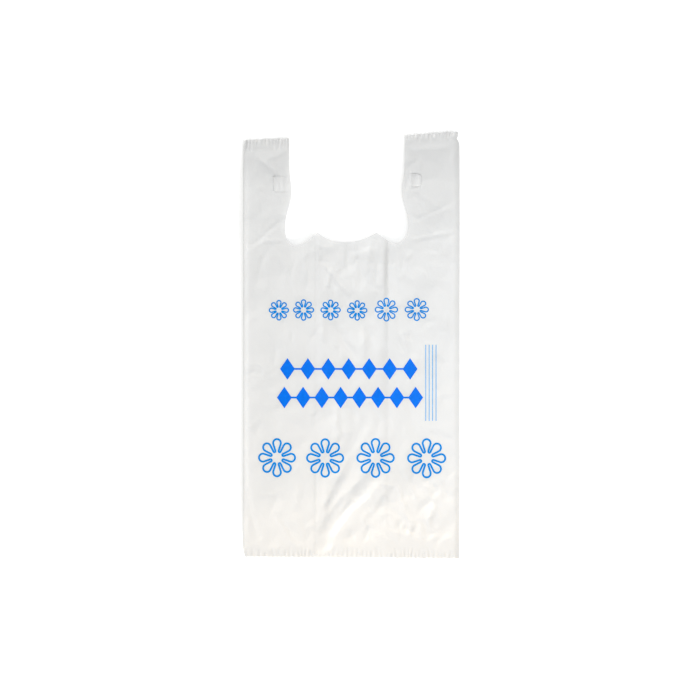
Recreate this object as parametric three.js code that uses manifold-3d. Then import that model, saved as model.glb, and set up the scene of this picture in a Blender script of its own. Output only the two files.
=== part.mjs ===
// A vest-style plastic carrier bag, printed on the front and lying flat on its back.
// It is one tube of thin film: the sides are folded in as gussets, the bottom edge and the tops of the
// two handles are sealed across all the layers, and the mouth is punched out between the handles.
// X runs across the bag, Y up towards the handles and Z up from the table. The origin is on the table,
// under the middle of the bag. All sizes are in millimetres.
import * as THREE from "three";
import { mergeVertices } from "three/addons/utils/BufferGeometryUtils.js";
import Module from "manifold-3d";

const wasm = await Module();
wasm.setup();

// The bag as it lies, flat and slightly open.
const bagWidth = 290;
const bagLength = 569;
const gussetDepth = 96;
const filmThickness = 0.4;
const pouchGap = 6; // free height between the front and back film, away from the seals
const gussetRidge = 0.7; // how far the gussets lift the front film above the middle of the bag
const sideShare = 0.65; // the free height at the body's side folds, as a share of the middle's
const sideRun = 70; // from a side fold to where the body has its full height
const handleRun = 60; // below the mouth's lowest point, where the sides rise to the handles' height
const layerGap = 0.35; // free height between two layers that lie together
const sealGap = 0.1; // free height between two layers where they meet a seal

// The seals.
const sealWidth = 4;
const sealOverlap = 2; // how far the tube runs into a seal
const sealRamp = 46; // from a handle's seal to where its layers are fully apart
const bottomRamp = 90; // the same, from the bottom seal
const ripplePitch = 11;
const rippleHeight = 0.5;

// The mouth, from its own centre line. Heights are down from the handles' tops.
const mouthCentreX = -5.9;
const mouthHalfWidth = 76.9;
const mouthStraight = 38; // the straight start of a handle's inner edge
const waistHalfWidth = 74.2; // at the slots, where the handles are widest
const waistDrop = 76;
const lobeHalfWidth = 82.6;
const lobeSideDrop = 127;
const lobeBottomX = 66;
const lobeDrop = 148;
const cuspX = 38.9;
const cuspDrop = 131;
const scallopDrop = 143;
const mouthCurveSteps = 6; // how finely each curve of the edge is divided

// The curves of the mouth's edge, from the handle's straight start down to the middle of the scallop.
// Both control points of a curve are shares of the way from its start to its end, across and down.
const mouthCurves = [
  { leave: [0, 0.4], arrive: [1, 0.6] },
  { leave: [0, 0.45], arrive: [1, 0.55] },
  { leave: [0, 0.65], arrive: [0.4, 1] },
  { leave: [0.45, 0], arrive: [0.75, 0.5] },
  { leave: [0.2, 0.75], arrive: [0.5, 1] },
];

// The hanging slots: a three-sided slit in each handle, with its open side towards the mouth.
const slotOuterX = 99; // from the mouth's centre line to the slit's closed side
const slotLength = 19;
const slotHeight = 20;
const slotDrop = 62; // down from the handles' tops to the slot's middle
const slitWidth = 1.2;

// How the handles lie: one is drawn up and the other down, and both tops slope a little.
const handleOffset = 3.7; // each handle's top, up or down from their mean
const handleSlope = 0.05;
const topDrop = 5.5; // from the bag's highest point down to the handles' tops before they are drawn

// The print, on the front. Heights are up or down from the middle of the bag.
const inkThickness = 0.25;
const inkClearance = 0.1;
const petals = 8;
const petalRoundness = 0.21; // a petal's end radius, as a share of its flower's radius
const petalRoot = 1.6;
const hubShare = 0.33; // where neighbouring petals join, as a share of the flower's radius
const lineWidth = 1.8;
const smallFlowers = { y: 46, left: 48.4, right: 57, radii: [13.4, 14, 13.6, 13.6, 15.5, 15.8] };
const smallFlowerNudges = [0, -4.1, -4.7, -6.2, -3.7, 0]; // each flower's place, off even spacing
const largeFlowers = { y: -152.4, left: 45.7, right: 44.1, radii: [26.3, 26.3, 26.3, 26.3] };
const largeFlowerNudges = [0, -2.2, -1.3, 0];
const lozengeHeight = 29;
const lozengeWidth = 20;
const lozengeLink = 2.4; // the line that joins the lozenges of one row
const upperLozenges = { y: -33, left: 49.5, right: 56.3, count: 7 };
const lowerLozenges = { y: -71.3, left: 45.4, right: 48.9, count: 8 };
const ruleMargin = 31; // from the bag's right side to the nearest rule
const ruleY = -51.6;
const ruleLength = 102;
const ruleWidth = 1;
const rulePitch = 4.6;
const ruleCount = 4;

// The long soft creases of the front film, through points that are shares of the half width and of
// the half length. A negative height is a valley, and reach is how far a crease spreads to each side.
const creases = [
  { points: [[0.19, -0.55], [-0.07, -0.7], [-0.2, -0.81], [-0.29, -0.95]], height: 3.2, reach: 20 },
  { points: [[0.155, -0.342], [0.025, -0.47], [-0.068, -0.573]], height: 1.8, reach: 16 },
  { points: [[0.33, 0.49], [0.335, 0.17]], height: -1.5, reach: 15 },
  { points: [[-0.05, 0.464], [-0.04, 0.28]], height: -1.2, reach: 15 },
  { points: [[0.36, -0.65], [0.6, -0.78]], height: -1.3, reach: 18 },
  { points: [[0.9, -0.86], [0.73, -0.96]], height: 1.3, reach: 18 },
  { points: [[-0.593, 0.921], [-0.841, 0.865]], height: -0.9, reach: 16 },
  { points: [[-0.607, 0.591], [-0.938, 0.436]], height: 0.9, reach: 18 },
  { points: [[0.552, 0.583], [0.952, 0.682]], height: 0.8, reach: 18 },
  { points: [[0.566, 0.492], [0.952, 0.527]], height: -0.8, reach: 16 },
];
const creaseEnd = 16; // from a seal to where a crease has its full height

// How finely the film is divided.
const columnPitch = 21;
const middlePitch = 14; // between the columns of the middle, where the deepest crease runs
const rowPitch = 32;
const rampRows = 3; // where the layers part below a handle's seal
const bottomRows = 5; // where they part above the bottom seal
const gussetRidgeRun = 9; // the width over which the front film steps up onto a gusset
const sideMargin = 11; // between the outermost column and the side fold

const halfWidth = bagWidth / 2;
const halfLength = bagLength / 2;
const bottomY = -halfLength;
const topY = halfLength - topDrop;
const innerFoldX = halfWidth - gussetDepth;
const bottomSealY = bottomY + sealWidth;
const topSealY = topY - sealWidth;
const mouthBottomY = topY - lobeDrop;

const clamp01 = (t) => Math.min(1, Math.max(0, t));
const smooth = (t) => clamp01(t) ** 2 * (3 - 2 * clamp01(t));
const mix = (a, b, t) => a + (b - a) * t;

// 0 at a seal and 1 where the layers are fully apart.
function openness(y) {
  return Math.min(smooth((y - bottomSealY) / bottomRamp), smooth((topSealY - y) / sealRamp));
}

// 1 over a gusset and 0 in the middle of the bag.
function overGusset(x) {
  return smooth((Math.abs(x) - innerFoldX) / gussetRidgeRun + 1);
}

// How far a point lies from a line between two points given as shares.
function distanceTo(from, to, x, y) {
  const [startX, startY] = [from[0] * halfWidth, from[1] * halfLength];
  const [dx, dy] = [to[0] * halfWidth - startX, to[1] * halfLength - startY];
  const nearest = clamp01(((x - startX) * dx + (y - startY) * dy) / (dx * dx + dy * dy));
  return Math.hypot(x - startX - nearest * dx, y - startY - nearest * dy);
}

// The height that one crease adds at a point.
function creaseHeight({ points, height, reach }, x, y) {
  const away = Math.min(...points.slice(1).map((end, i) => distanceTo(points[i], end, x, y)));
  return (height * (1 + Math.cos(Math.PI * Math.min(away / reach, 1)))) / 2;
}

// The free height between the front and back film, before the gussets and creases lift it.
function freeHeight(x, y) {
  const nearSide = clamp01(1 - (halfWidth - Math.abs(x)) / sideRun) ** 2;
  const belowHandles = smooth((mouthBottomY - y) / handleRun);
  return pouchGap * mix(1, sideShare, nearSide * belowHandles);
}

// The height of the front film above the back film, between the middles of the two.
function frontRise(x, y) {
  const closed = (filmThickness + sealGap) * (1 + 2 * overGusset(x));
  const open = filmThickness + freeHeight(x, y) + gussetRidge * overGusset(x);
  const toSeal = Math.min(y - bottomSealY, topSealY - y);
  const folds = creases.reduce((sum, crease) => sum + creaseHeight(crease, x, y), 0);
  const rise = mix(closed, open, openness(y)) + folds * smooth(toSeal / creaseEnd);
  return Math.max(closed, rise);
}

// The free heights over a gusset: between each gusset layer and the film it lies against, and between
// the two gusset layers. In the body the gusset opens like a V from its inner fold. In the handles,
// where that fold is cut away, each gusset layer lies against its own side's film.
function gussetGaps(x, y) {
  const free = Math.max(frontRise(x, y) - 3 * filmThickness, 3 * sealGap);
  const least = Math.min(layerGap, free / 3);
  const inward = clamp01((halfWidth - Math.abs(x)) / gussetDepth);
  const inBody = smooth((mouthBottomY - y) / sealRamp);
  const pocket = mix(least, (free - least) / 2, inward * inBody);
  return { pocket, valley: free - 2 * pocket };
}

// One ring of the tube at height y: points of the film's middle line, each with its outward normal.
// Every layer has its points over the same columns, so the layers stay clear of one another between them.
function section(y) {
  const back = filmThickness / 2;
  const frontZ = (x) => back + frontRise(x, y);
  const upperZ = (x) => frontZ(x) - filmThickness - gussetGaps(x, y).pocket;
  const lowerZ = (x) => back + filmThickness + gussetGaps(x, y).pocket;
  const layer = (xs, height, normal) => xs.map((x) => ({ x, z: height(x), nx: 0, nz: normal }));
  // The tip of a fold between two layers, which points to the side that way gives.
  const fold = (x, above, below, way, normal) => {
    const radius = (above(x) - below(x)) / 2;
    return { x: x + way * radius, z: above(x) - radius, nx: way * normal, nz: 0 };
  };
  const half = (side) => {
    const overGussets = columns.filter((x) => side * x > innerFoldX - sideMargin / 2);
    const inward = overGussets.sort((a, b) => side * (b - a));
    const outer = inward[0];
    const inner = inward[inward.length - 1];
    return [
      fold(outer, frontZ, upperZ, side, 1),
      ...layer(inward, upperZ, -1),
      fold(inner, upperZ, lowerZ, -side, -1),
      ...layer([...inward].reverse(), lowerZ, 1),
      fold(outer, lowerZ, () => back, side, 1),
    ];
  };
  return [
    ...layer(columns, frontZ, 1),
    ...half(1),
    ...layer([sideColumn, -sideColumn], () => back, -1),
    ...half(-1).reverse(),
  ];
}

// Values from a to b, about pitch apart.
function spaced(a, b, pitch) {
  const steps = Math.max(1, Math.round(Math.abs(b - a) / pitch));
  return Array.from({ length: steps + 1 }, (_, i) => mix(a, b, i / steps));
}

// The columns, with lines at the side folds and where the front film steps up onto the gussets.
const sideColumn = halfWidth - filmThickness - layerGap / 2;
const columns = [
  -sideColumn,
  ...spaced(sideMargin - sideColumn, -innerFoldX, columnPitch),
  ...spaced(-innerFoldX + gussetRidgeRun, innerFoldX - gussetRidgeRun, middlePitch),
  ...spaced(innerFoldX, sideColumn - sideMargin, columnPitch),
  sideColumn,
];

// The tube's rows, closer together where the layers part from a seal.
const rows = [
  ...spaced(bottomSealY - sealOverlap, bottomSealY + bottomRamp, bottomRamp / bottomRows),
  ...spaced(bottomSealY + bottomRamp, topSealY - sealRamp, rowPitch).slice(1, -1),
  ...spaced(topSealY - sealRamp, topSealY + sealOverlap, sealRamp / rampRows),
];

function geometryOf(points, triangles) {
  const geometry = new THREE.BufferGeometry();
  geometry.setAttribute("position", new THREE.Float32BufferAttribute(points.flat(), 3));
  geometry.setIndex(triangles);
  return geometry;
}

// The film as a closed shell between an outer and an inner surface, open at neither end.
function tube() {
  const rings = rows.map((y) => ({ y, ring: section(y) }));
  const size = rings[0].ring.length;
  const half = filmThickness / 2;
  const surface = (side) =>
    rings.flatMap(({ y, ring }) =>
      ring.map((p) => [p.x + side * half * p.nx, y, p.z + side * half * p.nz]),
    );
  const points = [...surface(1), ...surface(-1)];
  const inside = rings.length * size;
  const triangles = [];
  const quad = (a, b, c, d) => triangles.push(a, b, c, a, c, d);
  for (let k = 0; k < size; k++) {
    const next = (k + 1) % size;
    const rising = rings[0].ring[next].x > rings[0].ring[k].x;
    for (let j = 0; j + 1 < rings.length; j++) {
      const [low, high] = [j * size, (j + 1) * size];
      const corners = [low + k, low + next, high + next, high + k];
      const [a, b, c, d] = rising ? corners : [...corners.slice(1), corners[0]];
      quad(a, b, c, d);
      quad(inside + a, inside + d, inside + c, inside + b);
    }
    const last = (rings.length - 1) * size;
    quad(k, inside + k, inside + next, next);
    quad(last + next, inside + last + next, inside + last + k, last + k);
  }
  return geometryOf(points, triangles);
}

// A closed slab over a grid of columns and rows, between two heights given as functions of x and y.
function slab(xs, ys, lowZ, highZ) {
  const layer = (height) => ys.flatMap((y) => xs.map((x) => [x, y, height(x, y)]));
  const points = [...layer(lowZ), ...layer(highZ)];
  const across = xs.length;
  const top = across * ys.length;
  const triangles = [];
  const quad = (a, b, c, d) => triangles.push(a, b, c, a, c, d);
  for (let j = 0; j + 1 < ys.length; j++) {
    for (let i = 0; i + 1 < across; i++) {
      const a = j * across + i;
      quad(top + a, top + a + 1, top + a + across + 1, top + a + across);
      quad(a, a + across, a + across + 1, a + 1);
    }
  }
  const wall = (a, b) => quad(a, b, top + b, top + a);
  const last = across * (ys.length - 1);
  for (let i = 0; i + 1 < across; i++) {
    wall(i, i + 1);
    wall(last + i + 1, last + i);
  }
  for (let j = 0; j + 1 < ys.length; j++) {
    wall((j + 1) * across, j * across);
    wall((j + 1) * across - 1, (j + 2) * across - 1);
  }
  return geometryOf(points, triangles);
}

// A seal bar: all the layers fused, with the small ripples that the heat leaves across it.
function seal(fromY, toY) {
  const xs = spaced(-halfWidth, halfWidth, ripplePitch / 2);
  const ripple = (x) => rippleHeight * (Math.round((2 * (x + halfWidth)) / ripplePitch) % 2);
  const topOf = (x, y) => filmThickness + frontRise(x, y) + ripple(x);
  return slab(xs, [fromY, toY], () => 0, topOf);
}

// The shape that is punched out, from above the handles down to the scalloped edge of the mouth.
function mouthShape() {
  const over = topY + sealWidth;
  const shape = new THREE.Shape();
  const at = (x, drop) => [mouthCentreX + x, topY - drop];
  shape.moveTo(mouthCentreX - mouthHalfWidth, over);
  shape.lineTo(...at(-mouthHalfWidth, mouthStraight));
  halfMouth(-1).forEach((curve) => shape.bezierCurveTo(...curve.flatMap((p) => at(...p))));
  const back = halfMouth(1).reverse();
  back.forEach(([c1, c2], i) => {
    const end = i + 1 < back.length ? back[i + 1][2] : [mouthHalfWidth, mouthStraight];
    shape.bezierCurveTo(...at(...c2), ...at(...c1), ...at(...end));
  });
  shape.lineTo(mouthCentreX + mouthHalfWidth, over);
  shape.closePath();
  return shape;
}

// The curves of one half of the mouth's edge, down from the handle to the middle of the scallop, each
// as two control points and an end. Points are from the mouth's centre line and the handles' tops.
function halfMouth(side) {
  const stops = [
    [mouthHalfWidth, mouthStraight],
    [waistHalfWidth, waistDrop],
    [lobeHalfWidth, lobeSideDrop],
    [lobeBottomX, lobeDrop],
    [cuspX, cuspDrop],
    [0, scallopDrop],
  ];
  return mouthCurves.map(({ leave, arrive }, i) => {
    const [from, to] = [stops[i], stops[i + 1]];
    const at = ([across, down]) => [side * mix(from[0], to[0], across), mix(from[1], to[1], down)];
    return [at(leave), at(arrive), at([1, 1])];
  });
}

// A three-sided slit, open towards the mouth. side is -1 for the left handle and 1 for the right.
function slotShape(side) {
  const outer = mouthCentreX + side * slotOuterX;
  const hinge = outer - side * slotLength;
  const [low, high] = [topY - slotDrop - slotHeight / 2, topY - slotDrop + slotHeight / 2];
  const inset = outer - side * slitWidth;
  return shapeOf([
    [hinge, low],
    [outer, low],
    [outer, high],
    [hinge, high],
    [hinge, high - slitWidth],
    [inset, high - slitWidth],
    [inset, low + slitWidth],
    [hinge, low + slitWidth],
  ]);
}

// A closed mesh as a solid that can be cut and joined, and back.
function toSolid(geometry) {
  const bare = geometry.index ? geometry.toNonIndexed() : geometry.clone();
  bare.deleteAttribute("normal");
  bare.deleteAttribute("uv");
  const merged = mergeVertices(bare, 1e-4);
  return new wasm.Manifold(
    new wasm.Mesh({
      numProp: 3,
      vertProperties: new Float32Array(merged.attributes.position.array),
      triVerts: new Uint32Array(merged.index.array),
    }),
  );
}

function toGeometry(solid) {
  const mesh = solid.getMesh();
  const geometry = new THREE.BufferGeometry();
  const positions = new Float32Array(mesh.numVert * 3);
  for (let i = 0; i < mesh.numVert; i++) {
    positions.set(mesh.vertProperties.subarray(i * mesh.numProp, i * mesh.numProp + 3), i * 3);
  }
  geometry.setAttribute("position", new THREE.BufferAttribute(positions, 3));
  geometry.setIndex(new THREE.BufferAttribute(new Uint32Array(mesh.triVerts), 1));
  return geometry;
}

// A prism over a flat shape, from below the table to above the bag.
function prism(shape, curveSegments = 1) {
  const reach = 3 * (pouchGap + gussetRidge) + 4 * filmThickness;
  const geometry = new THREE.ExtrudeGeometry(shape, { depth: 2 * reach, bevelEnabled: false, curveSegments });
  return toSolid(geometry.translate(0, 0, -reach));
}

// Draws one handle up and the other down, as the bag lies. The body stays as it is.
function layHandles(geometry) {
  const handleMiddle = (halfWidth + mouthHalfWidth) / 2;
  const position = geometry.attributes.position;
  for (let i = 0; i < position.count; i++) {
    const [x, y] = [position.getX(i), position.getY(i)];
    const side = smooth((x - mouthCentreX) / (2 * mouthHalfWidth) + 0.5);
    const fromMiddle = x - mix(-handleMiddle, handleMiddle, side);
    const offset = mix(-handleOffset, handleOffset, side) + handleSlope * fromMiddle;
    position.setY(i, y + offset * clamp01((y - mouthBottomY) / (topY - mouthBottomY)));
  }
  return geometry;
}

function bag() {
  let solid = toSolid(tube());
  solid = solid.add(toSolid(seal(bottomY, bottomSealY)));
  solid = solid.add(toSolid(seal(topSealY, topY)));
  solid = solid.subtract(prism(mouthShape(), mouthCurveSteps));
  for (const side of [-1, 1]) {
    solid = solid.subtract(prism(slotShape(side)));
  }
  return layHandles(toGeometry(solid));
}

// The thin layer over the front film in which all the print lies.
const inkLayer = (() => {
  const above = (rise) => (x, y) => filmThickness + frontRise(x, y) + rise;
  const ys = rows.filter((y) => y > bottomSealY && y < mouthBottomY);
  return toSolid(slab(columns.slice(1, -1), ys, above(inkClearance), above(inkClearance + inkThickness)));
})();

function print(solid) {
  return toGeometry(solid.intersect(inkLayer));
}

const shapeOf = (points) => new THREE.Shape(points.map((p) => new THREE.Vector2(...p)));
const polar = (radius, angle) => [radius * Math.cos(angle), radius * Math.sin(angle)];

// A petal of a flower at the origin: round at the outer end, and tapering to a small root at the centre.
function petalShape(angle, reach, endRadius, rootRadius, arcSteps) {
  const centre = reach - endRadius;
  const lean = Math.acos((endRadius - rootRadius) / centre);
  const [cx, cy] = polar(centre, angle);
  const end = spaced(angle - lean, angle + lean, (2 * lean) / arcSteps).map((a) => {
    const [x, y] = polar(endRadius, a);
    return [cx + x, cy + y];
  });
  return shapeOf([...end, polar(rootRadius, angle + lean), polar(rootRadius, angle - lean)]);
}

// All the petals of a flower joined about its centre, grown or shrunk by an offset.
function blossom(radius, offset, arcSteps) {
  const pitch = (2 * Math.PI) / petals;
  const angles = Array.from({ length: petals }, (_, k) => Math.PI / 2 + pitch * k);
  const reach = radius - lineWidth / 2 + offset;
  const endRadius = radius * petalRoundness + offset;
  const hubRadius = (radius * hubShare + offset) / Math.cos(pitch / 2);
  let solid = prism(shapeOf(angles.map((angle) => polar(hubRadius, angle))));
  for (const angle of angles) {
    solid = solid.add(prism(petalShape(angle, reach, endRadius, petalRoot + offset, arcSteps)));
  }
  return solid;
}

// The outline of a flower, as one line of even width.
function flower(x, y, radius, arcSteps) {
  const outer = blossom(radius, lineWidth / 2, arcSteps);
  const line = outer.subtract(blossom(radius, -lineWidth / 2, arcSteps));
  return print(line.translate([x, y, 0]));
}

// The flowers of one row, evenly spaced between its two margins but for their nudges.
function flowerRow(name, { y, left, right, radii }, nudges, arcSteps) {
  const start = left - halfWidth;
  const pitch = (bagWidth - left - right) / (radii.length - 1);
  radii.forEach((radius, i) => {
    const x = start + pitch * i + nudges[i];
    place(`${name}_${i + 1}`, flower(x, y, radius, arcSteps), ink);
  });
}

// A row of solid lozenges joined by a thin line.
function lozengeRow({ y, left, right, count }) {
  const start = left - halfWidth + lozengeWidth / 2;
  const pitch = (bagWidth - left - right - lozengeWidth) / (count - 1);
  const link = lozengeLink / 2;
  const shoulder = (lozengeWidth / 2) * (1 - lozengeLink / lozengeHeight);
  const edge = (sign) =>
    Array.from({ length: count }, (_, i) => {
      const centre = start + i * pitch;
      return [
        [centre - sign * shoulder, y - sign * link],
        [centre, y - (sign * lozengeHeight) / 2],
        [centre + sign * shoulder, y - sign * link],
      ];
    });
  const firstTip = [start - lozengeWidth / 2, y];
  const lastTip = [start + (count - 1) * pitch + lozengeWidth / 2, y];
  const outline = [firstTip, ...edge(1).flat(), lastTip, ...edge(-1).reverse().flat()];
  return print(prism(shapeOf(outline)));
}

// One of the thin upright rules beside the rows.
function rule(index) {
  const x = halfWidth - ruleMargin - ruleWidth / 2 - (ruleCount - 1 - index) * rulePitch;
  const [left, right] = [x - ruleWidth / 2, x + ruleWidth / 2];
  const [low, high] = [ruleY - ruleLength / 2, ruleY + ruleLength / 2];
  const corners = [[left, low], [right, low], [right, high], [left, high]];
  return print(prism(shapeOf(corners)));
}

const film = new THREE.MeshStandardMaterial({ color: 0xecedea, roughness: 0.38, metalness: 0 });
const ink = new THREE.MeshStandardMaterial({ color: 0x0f76e2, roughness: 0.4, metalness: 0 });
const paleInk = new THREE.MeshStandardMaterial({ color: 0x46a5f0, roughness: 0.4, metalness: 0 });

const carrier = new THREE.Group();
const place = (name, geometry, material) => {
  const mesh = new THREE.Mesh(geometry, material);
  mesh.name = name;
  carrier.add(mesh);
};

place("film_bag", bag(), film);
flowerRow("print_small_flower", smallFlowers, smallFlowerNudges, 3);
flowerRow("print_large_flower", largeFlowers, largeFlowerNudges, 4);
[upperLozenges, lowerLozenges].forEach((row, i) => {
  place(`print_lozenge_row_${i + 1}`, lozengeRow(row), ink);
});
for (let i = 0; i < ruleCount; i++) {
  place(`print_rule_${i + 1}`, rule(i), paleInk);
}

export default carrier;
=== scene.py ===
"""A plastic carrier bag with a blue print, lying on its back, dressed in the frame of its CAD model."""

import math

import bpy
import numpy as np
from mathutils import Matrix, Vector
from mathutils.bvhtree import BVHTree
from mathutils.geometry import delaunay_2d_cdt


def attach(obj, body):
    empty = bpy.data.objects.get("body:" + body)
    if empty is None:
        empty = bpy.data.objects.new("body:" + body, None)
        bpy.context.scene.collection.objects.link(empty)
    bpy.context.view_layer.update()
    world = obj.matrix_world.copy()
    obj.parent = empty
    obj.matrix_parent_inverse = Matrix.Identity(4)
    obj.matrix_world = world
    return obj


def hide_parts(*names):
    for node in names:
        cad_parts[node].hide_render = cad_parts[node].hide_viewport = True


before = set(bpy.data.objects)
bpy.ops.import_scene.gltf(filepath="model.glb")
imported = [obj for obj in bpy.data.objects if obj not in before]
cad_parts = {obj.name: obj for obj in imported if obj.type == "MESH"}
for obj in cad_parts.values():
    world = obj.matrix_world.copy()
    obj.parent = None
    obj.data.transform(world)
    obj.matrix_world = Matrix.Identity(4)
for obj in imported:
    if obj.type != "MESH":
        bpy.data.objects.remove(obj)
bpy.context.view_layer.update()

# Lengths are in millimetres, and places are measured from the middle of the bag, up from the table.
MM = 0.001
FULL_TURN = 2 * math.pi

# The bag's outline.
HALF_WIDTH = 144.9
INNER_FOLD_X = 49.0
BOTTOM_LEFT_Y = -286.0
BOTTOM_RIGHT_Y = -287.2
HIGHEST_Y = 285.8
LEFT_TOP = [(-83.3, 276.2), (-113.0, 275.7), (-141.8, 273.9)]
RIGHT_TOP = [(143.9, 284.2), (141.5, 285.0), (125.0, 284.9), (98.0, 282.7), (71.6, 280.0)]
RIGHT_CORNER = [(HALF_WIDTH, 269.0), (143.6, 272.6), (141.6, 276.0), (143.3, 280.0)]
LEFT_CORNER = [(-144.4, 272.2), (-HALF_WIDTH, 268.0)]
BOTTOM_LEFT_CORNER = [(-HALF_WIDTH, -272.0), (-143.9, -279.6), (-142.4, -285.0)]

# The handles' tops without their small corners: places across the bag, and the height at each.
LEFT_TOP_LINE = ([-145, -113, -83], [273.4, 275.7, 276.2])
RIGHT_TOP_LINE = ([71, 98, 125, 145], [280.0, 282.7, 284.9, 284.2])

# How each sealed edge wavers: how far, over what length, and its seed.
RIGHT_TOP_WAVER = (0.35, 7.0, 21)
BOTTOM_WAVER = (0.45, 6.0, 22)
LEFT_TOP_WAVER = (0.3, 6.0, 23)

# The punched mouth, from the left handle's edge round to the right one: each curve is a start, two
# control points and an end.
MOUTH = [
    ((-83.3, 276.2), (-83.3, 262.0), (-83.0, 248.0), (-83.0, 236.0)),
    ((-83.0, 236.0), (-83.0, 225.0), (-80.4, 216.0), (-80.4, 206.0)),
    ((-80.4, 206.0), (-80.4, 186.0), (-88.8, 178.0), (-88.8, 156.0)),
    ((-88.8, 156.0), (-88.8, 143.0), (-84.0, 130.8), (-74.0, 130.8)),
    ((-74.0, 130.8), (-66.0, 130.8), (-57.0, 141.0), (-44.6, 149.6)),
    ((-44.6, 149.6), (-38.0, 143.0), (-26.0, 136.8), (-8.0, 136.8)),
    ((-8.0, 136.8), (8.0, 136.8), (24.0, 143.0), (33.6, 149.6)),
    ((33.6, 149.6), (44.0, 142.5), (54.0, 134.0), (61.2, 134.0)),
    ((61.2, 134.0), (69.0, 134.0), (76.5, 145.0), (76.5, 158.0)),
    ((76.5, 158.0), (76.5, 180.0), (67.9, 190.0), (67.9, 207.0)),
    ((67.9, 207.0), (67.9, 218.0), (71.0, 224.0), (71.0, 236.0)),
    ((71.0, 236.0), (71.0, 250.0), (71.6, 265.0), (71.6, 280.0)),
]

# The hanging slots: each is a three-sided slit, with its closed side away from the mouth and its hinge
# towards it. The flap inside it stands up by the lift, and bulges by the dome.
SLOTS = [
    {
        "closed": -104.3,
        "hinge": -84.5,
        "low": 203.9,
        "high": 225.6,
        "slit": 0.5,
        "round": 2.0,
        "lift": 0.8,
        "dome": 0.0,
    },
    {
        "closed": 93.9,
        "hinge": 79.2,
        "low": 210.3,
        "high": 228.8,
        "slit": 0.9,
        "round": 5.0,
        "lift": 0.0,
        "dome": 1.1,
    },
]
SLOT_ROUND_POINTS = 5
FLAP_BEND = 1.5

# How finely the film is divided: over the body, near the seals and slots, and along its edges.
FILM_STEP = 2.6
SEAL_STEP = 1.35
EDGE_STEP = 2.0
TRIANGLE_RISE = 0.866
SEAL_STRETCH = 1.3
SEAL_ZONE = 15.0
SLOT_ZONE = 18.0
SLOT_MARGIN = 6.0
EDGE_CLEARANCE = 0.5
SLOT_CLEARANCE = 0.6
FOLD_CLEARANCE = 0.7
FOLD_LINE_INSET = 1.2
FOLD_LINE_TOP = 160.0

# Limits in the searches.
FAR = 1e9
TINY = 1e-9
SAME_POINT = 1e-5
SAME_PLACE = 1e-3
ON_FOLD = 0.01


def smooth(t):
    t = np.clip(t, 0.0, 1.0)
    return t * t * (3.0 - 2.0 * t)


def bezier(curve, step):
    """Points about step apart along a curve, without its last point."""
    p0, c1, c2, p1 = (np.array(p) for p in curve)
    length = np.linalg.norm(c1 - p0) + np.linalg.norm(c2 - c1) + np.linalg.norm(p1 - c2)
    t = np.linspace(0.0, 1.0, max(2, int(length / step)) + 1)[:-1, None]
    return (1 - t) ** 3 * p0 + 3 * (1 - t) ** 2 * t * c1 + 3 * (1 - t) * t**2 * c2 + t**3 * p1


def along(points, step):
    """Points about step apart along a polyline, without its last point."""
    pieces = []
    for a, b in zip(points[:-1], points[1:]):
        a, b = np.array(a), np.array(b)
        count = max(1, int(round(np.linalg.norm(b - a) / step)))
        pieces.append(a + (b - a) * np.arange(count)[:, None] / count)
    return np.concatenate(pieces)


WAVES = 6
WAVE_GROWTH = 0.9
WAVE_FALL = 0.4
WAVE_TOTAL = 2.2


def wander(values, pitch, seed):
    """A smooth random curve over values, between about -1 and 1, in waves of the pitch and longer ones."""
    source = np.random.default_rng(seed)
    total = np.zeros_like(values)
    for k in range(WAVES):
        wave = pitch * (1.0 + WAVE_GROWTH * k)
        total += np.sin(FULL_TURN * (values / wave + source.random())) / (1 + WAVE_FALL * k)
    return total / WAVE_TOTAL


def wavering(path, waver):
    """A sealed edge whose points, but for the first, waver up and down."""
    size, pitch, seed = waver
    path[1:, 1] += size * wander(path[1:, 0], pitch, seed)
    return path


def bag_outline():
    """The bag's closed outline, from the mouth's left end round."""
    bottom_right = (HALF_WIDTH, BOTTOM_RIGHT_Y)
    mouth = np.concatenate([bezier(curve, EDGE_STEP) for curve in MOUTH])
    right_top = wavering(along(RIGHT_TOP[::-1], SEAL_STEP), RIGHT_TOP_WAVER)
    right = along([RIGHT_TOP[0], *RIGHT_CORNER[::-1], bottom_right], EDGE_STEP)
    bottom = wavering(along([bottom_right, BOTTOM_LEFT_CORNER[-1]], SEAL_STEP), BOTTOM_WAVER)
    left = along([*BOTTOM_LEFT_CORNER[::-1], *LEFT_CORNER[::-1], LEFT_TOP[-1]], EDGE_STEP)
    left_top = wavering(along(LEFT_TOP[::-1], SEAL_STEP), LEFT_TOP_WAVER)
    return np.concatenate([mouth, right_top, right, bottom, left, left_top])


def inside(points, loop):
    """Which points lie inside a closed loop."""
    x, y = points[:, 0], points[:, 1]
    result = np.zeros(len(points), bool)
    for (ax, ay), (bx, by) in zip(loop, np.roll(loop, -1, axis=0)):
        if ay != by:
            result ^= ((ay > y) != (by > y)) & (x < (bx - ax) * (y - ay) / (by - ay) + ax)
    return result


def distance_to(points, loop):
    """Each point's distance to a closed loop."""
    best = np.full(len(points), FAR)
    for a, b in zip(loop, np.roll(loop, -1, axis=0)):
        span = b - a
        t = np.clip(((points - a) @ span) / max(span @ span, TINY), 0.0, 1.0)
        best = np.minimum(best, np.linalg.norm(points - a - t[:, None] * span, axis=1))
    return best


def slot_half(slot, inset, away):
    """The upper half of a slot's outline: its rounded corner, and its arm to the hinge."""
    closed, high = slot["closed"] - away * inset, slot["high"] - inset
    radius = slot["round"] - inset
    corner = [
        (closed - away * radius * (1 - math.cos(angle)), high - radius * (1 - math.sin(angle)))
        for angle in np.linspace(0.0, math.pi / 2, SLOT_ROUND_POINTS)
    ]
    return [*corner, (slot["hinge"], high)]


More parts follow.
